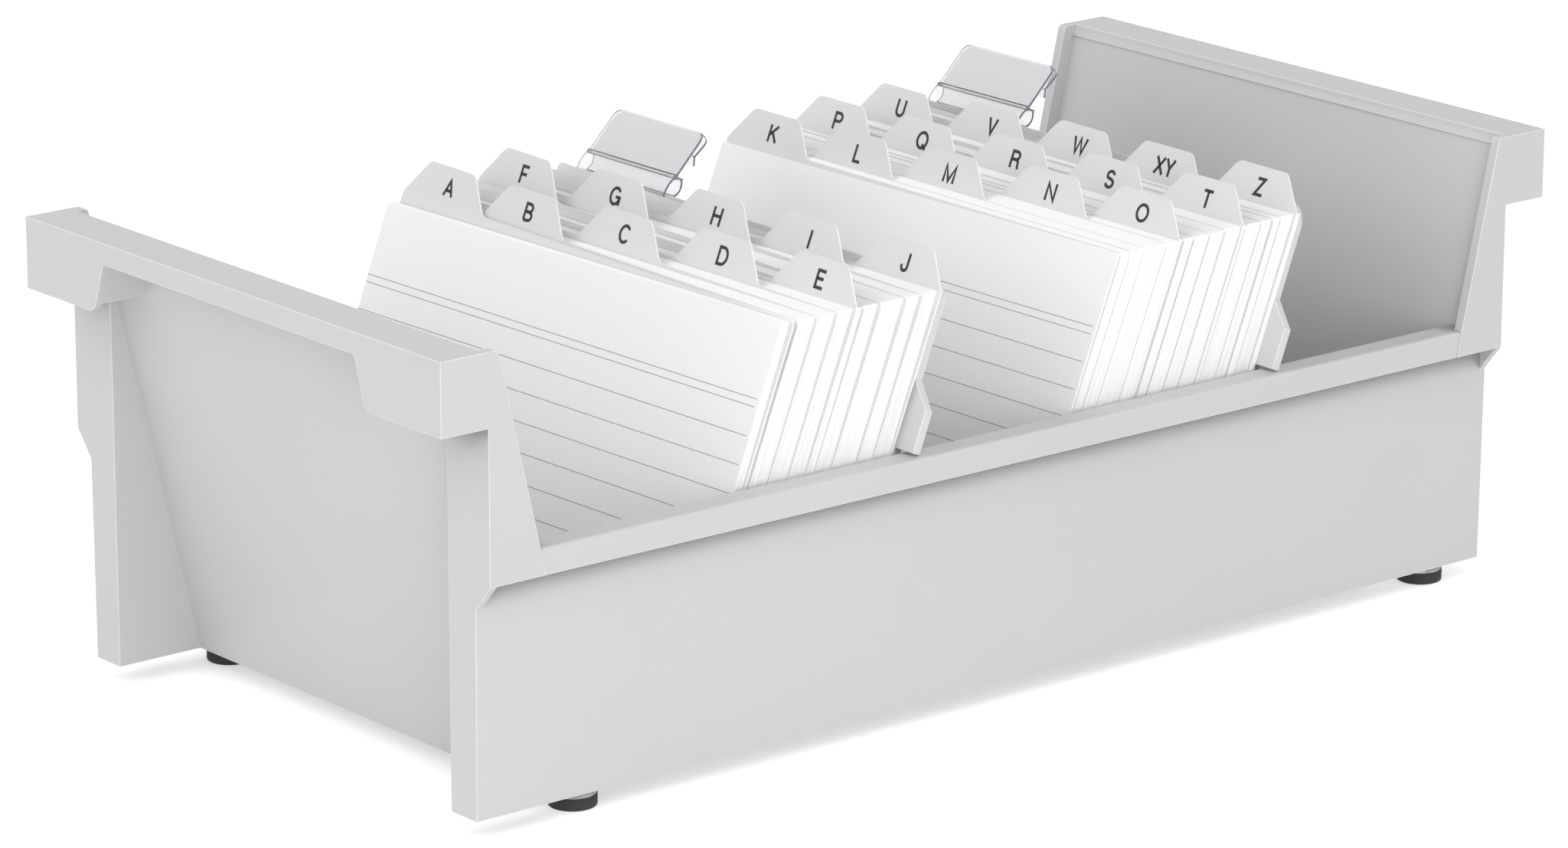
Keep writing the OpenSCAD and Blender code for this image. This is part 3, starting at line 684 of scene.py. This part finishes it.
# stroke paths of a plain grotesque alphabet, in cap heights, with each letter's width
letterPaths = {
    "A": (0.78, [[(0, 0), (0.39, 0.97), (0.78, 0)], [(0.14, 0.35), (0.64, 0.35)]]),
    "B": (0.66, [[(0, 0), (0, 1), *arcPoints(0.34, 0.76, 0.26, 0.24, 90, -90), (0, 0.52)],
                 [(0.34, 0.52), *arcPoints(0.36, 0.26, 0.3, 0.26, 90, -90), (0, 0)]]),
    "C": (0.82, [arcPoints(0.42, 0.5, 0.42, 0.5, 38, 322, 24)]),
    "D": (0.76, [[(0, 0), (0, 1), *arcPoints(0.34, 0.5, 0.42, 0.5, 90, -90, 18), (0, 0)]]),
    "E": (0.64, [[(0.64, 1), (0, 1), (0, 0), (0.66, 0)], [(0, 0.53), (0.58, 0.53)]]),
    "F": (0.58, [[(0.6, 1), (0, 1), (0, -0.07)], [(0, 0.51), (0.53, 0.51)]]),
    "G": (0.86, [arcPoints(0.43, 0.5, 0.43, 0.5, 38, 345, 24),
                 [(0.48, 0.46), (0.86, 0.46), (0.86, -0.03)]]),
    "H": (0.7, [[(0, -0.07), (0, 1.07)], [(0.7, -0.07), (0.7, 1.07)], [(0, 0.53), (0.7, 0.53)]]),
    "I": (0.0, [[(0, -0.07), (0, 1.07)]]),
    "J": (0.5, [[(0.5, 1.07), *arcPoints(0.25, 0.25, 0.25, 0.25, 0, -180), (0, 0.34)]]),
    "K": (0.7, [[(0, -0.07), (0, 1.07)], [(0.68, 1.04), (0, 0.37)], [(0.24, 0.6), (0.72, -0.04)]]),
    "L": (0.56, [[(0, 1.07), (0, 0), (0.58, 0)]]),
    "M": (0.86, [[(0, -0.07), (0, 1), (0.43, 0.03), (0.86, 1), (0.86, -0.07)]]),
    "N": (0.7, [[(0, -0.07), (0, 1), (0.7, 0), (0.7, 1.07)]]),
    "O": (0.9, [arcPoints(0.45, 0.5, 0.45, 0.5, 0, 360, 32)]),
    "P": (0.64, [[(0, -0.07), (0, 1), *arcPoints(0.36, 0.735, 0.28, 0.265, 90, -90), (0, 0.47)]]),
    "Q": (0.9, [arcPoints(0.45, 0.5, 0.45, 0.5, 0, 360, 32), [(0.52, 0.26), (0.86, -0.06)]]),
    "R": (0.68, [[(0, -0.07), (0, 1), *arcPoints(0.38, 0.75, 0.26, 0.25, 90, -90), (0, 0.5)],
                 [(0.4, 0.5), *arcPoints(0.46, 0.32, 0.16, 0.17, 90, 0, 5), (0.64, 0.1), (0.7, -0.07)]]),
    "S": (0.68, [[*arcPoints(0.33, 0.74, 0.29, 0.26, 15, 215, 14),
                  *arcPoints(0.34, 0.26, 0.31, 0.26, 60, -170, 16)]]),
    "T": (0.78, [[(0, 1), (0.78, 1)], [(0.39, 1), (0.39, -0.07)]]),
    "U": (0.68, [[(0, 1.07), *arcPoints(0.34, 0.34, 0.34, 0.34, 180, 360, 14), (0.68, 1.07)]]),
    "V": (0.74, [[(0, 1.05), (0.37, 0.03), (0.74, 1.05)]]),
    "W": (1.14, [[(0, 1.05), (0.3, 0.03), (0.57, 0.98), (0.84, 0.03), (1.14, 1.05)]]),
    "X": (0.72, [[(0, 1.05), (0.72, -0.05)], [(0.72, 1.05), (0, -0.05)]]),
    "Y": (0.72, [[(0, 1.05), (0.36, 0.45), (0.72, 1.05)], [(0.36, 0.45), (0.36, -0.07)]]),
    "Z": (0.66, [[(0.02, 1), (0.64, 1), (0, 0), (0.68, 0)]]),
}


mitreLimit = 0.42    # keeps the corner of a sharp bend from shooting out


def strokeOutline(path, width):
    # the left and right sides of a stroke, mitred at its bends
    pts = [Vector(p) for p in path]
    closed = (pts[0] - pts[-1]).length < 1e-6
    last = len(pts) - 1
    sides = []
    for k, p in enumerate(pts):
        before = (p - pts[k - 1]).normalized() if k else (pts[1] - p).normalized()
        after = (pts[k + 1] - p).normalized() if k < last else before
        if closed and k in (0, last):
            before, after = (pts[-1] - pts[-2]).normalized(), (pts[1] - pts[0]).normalized()
        mid = before + after
        mid = mid.normalized() if mid.length > 1e-6 else before
        reach = width / 2 / max(mitreLimit, mid.dot(before))
        aside = reach * Vector((-mid.y, mid.x))
        sides.append((p + aside, p - aside))
    return sides


def makeLetters(s):
    scale = s["heightMm"] * mm / (1 + s["strokeMm"] / s["heightMm"])
    guides = [name for name in sorted(nodes) if name.startswith("guide_")]
    for name in guides:
        key = name[6:]
        text = key.upper()
        centre, side, up, out = planeOf(nodes[name])
        places = [v.co - centre for v in nodes[name].data.vertices]
        top = max(p.dot(up) for p in places)
        crest = [p.dot(side) for p in places if p.dot(up) > top - s["crestMm"] * mm]
        middle = (min(crest) + max(crest)) / 2 + s["acrossMm"] * mm
        origin = centre + side * middle + up * (top - s["belowMm"] * mm) + out * s["riseMm"] * mm
        left = -(sum(letterPaths[c][0] for c in text) + s["gap"] * (len(text) - 1)) / 2
        points, faces = [], []
        for c in text:
            for path in letterPaths[c][1]:
                first = len(points)
                sides = strokeOutline(path, s["strokeMm"] * mm / scale)
                points += [origin + side * (left + q.x) * scale + up * (q.y - 0.5) * scale
                           for pair in sides for q in pair]
                corners = [first + 2 * k for k in range(len(sides) - 1)]
                faces += [(i, i + 1, i + 3, i + 2) for i in corners]
            left += letterPaths[c][0] + s["gap"]
        objectFromMesh("letter_" + key, points, faces, "group_" + key, blackInk)
    print("letters drawn on", len(guides), "guides")


for end in ("front", "rear"):
    makeSlip(end, slipSettings)
makeFeet(footSettings)
print("slips and feet made")
makeLetters(letterSettings)

# the packs, card by card

packSettings = {
    "cardMm": 0.24,              # thickness of one card
    "airMm": 0.01,
    "sideMm": 0.012,             # how far single cards stand out sideways
    "bundleSideMm": 0.15,        # and how far a bundle of them does
    "riseMm": 0.05,
    "bundleCards": (2, 9),
    "playMm": 0.2,               # what a pack takes up of the play behind it
    "leanDegrees": 0.004,
    "shadedCards": (0.86, 0.97),   # painted shade: edge tone of a card that a bundle begins with
    "plainCards": (0.94, 1.0),   # and of the others, whose painted light varies a little from card to card
}


def makePack(nodeName, body, s, card, seed):
    rng = random.Random(seed)
    centre, side, up, out = planeOf(nodes[nodeName])
    back = -out
    verts = [v.co for v in nodes[nodeName].data.vertices]
    front = min((v - centre).dot(back) for v in verts)
    depth = max((v - centre).dot(back) for v in verts) - front + s["playMm"] * mm
    floorZ = min(v.z for v in verts)
    sideways = [(v - centre).dot(side) for v in verts]
    middle = (min(sideways) + max(sideways)) / 2
    half = card["cardWidth"] * mm / 2
    count = max(1, round(depth / ((s["cardMm"] + s["airMm"]) * mm)))
    pitch = depth / count
    thick = pitch * s["cardMm"] / (s["cardMm"] + s["airMm"])
    isFirst = not nodeName.startswith("cards_")
    points, faces, uvs, tones = [], [], [], []
    bundleLeft, bundleShift, bundleRise = 0, 0, 0
    for k in range(count):
        startsBundle = bundleLeft <= 0
        tone = rng.uniform(*s["shadedCards" if startsBundle and not isFirst else "plainCards"])
        if startsBundle:
            bundleLeft = rng.randint(*s["bundleCards"])
            bundleShift = rng.uniform(-1, 1) * s["bundleSideMm"] * mm
            bundleRise = rng.uniform(-1, 0.6) * s["riseMm"] * mm
        bundleLeft -= 1
        shift = bundleShift + rng.gauss(0, 0.4) * s["sideMm"] * mm
        turn = math.radians(rng.gauss(0, 1) * s["leanDegrees"])
        near, far = front + k * pitch, front + k * pitch + thick
        if isFirst and k == 0:
            shift, turn = 0, 0      # the card in front is seen whole
        foot = centre + side * (middle + half) + back * far
        low = (floorZ - foot.z) / up.z      # the card stands on its right-hand rear corner
        high = low + card["cardHeight"] * mm + bundleRise + rng.gauss(0, 0.3) * s["riseMm"] * mm
        corners = [(middle + shift + x + math.tan(turn) * (y - low), y, x)
                   for x, y in ((-half, low), (half, low), (half, high), (-half, high))]
        a = len(points)
        for d in (near, far):
            points += [centre + side * x + up * y + back * d for x, y, _ in corners]
            uvs += [((u + half) / mm, (high - y) / mm) for _, y, u in corners]
        faces += [(a, a + 1, a + 2, a + 3), (a + 7, a + 6, a + 5, a + 4), (a + 1, a + 5, a + 6, a + 2),
                  (a + 4, a, a + 3, a + 7), (a + 3, a + 2, a + 6, a + 7), (a + 4, a + 5, a + 1, a)]
        tones += [tone] * 6     # one for each face of the card
    name = nodeName + "_leaves" if isFirst else nodeName.replace("cards_", "leaves_")
    leaves = objectFromMesh(name, points, faces, body, cardStock, uvs)
    leaves.data.attributes.new("edgeLightAndShade", "FLOAT", "FACE").data.foreach_set("value", tones)
    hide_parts(nodeName)
    return count


total = 0
for seed, name in enumerate(sorted(nodes), 11):
    if name.startswith("cards_"):
        total += makePack(name, "group_" + name[6:], packSettings, cardSettings, seed)
    elif name in ("front_first_cards", "rear_first_card"):
        total += makePack(name, name.split("_")[0] + "_first", packSettings, cardSettings, seed)
print("cards made:", total)
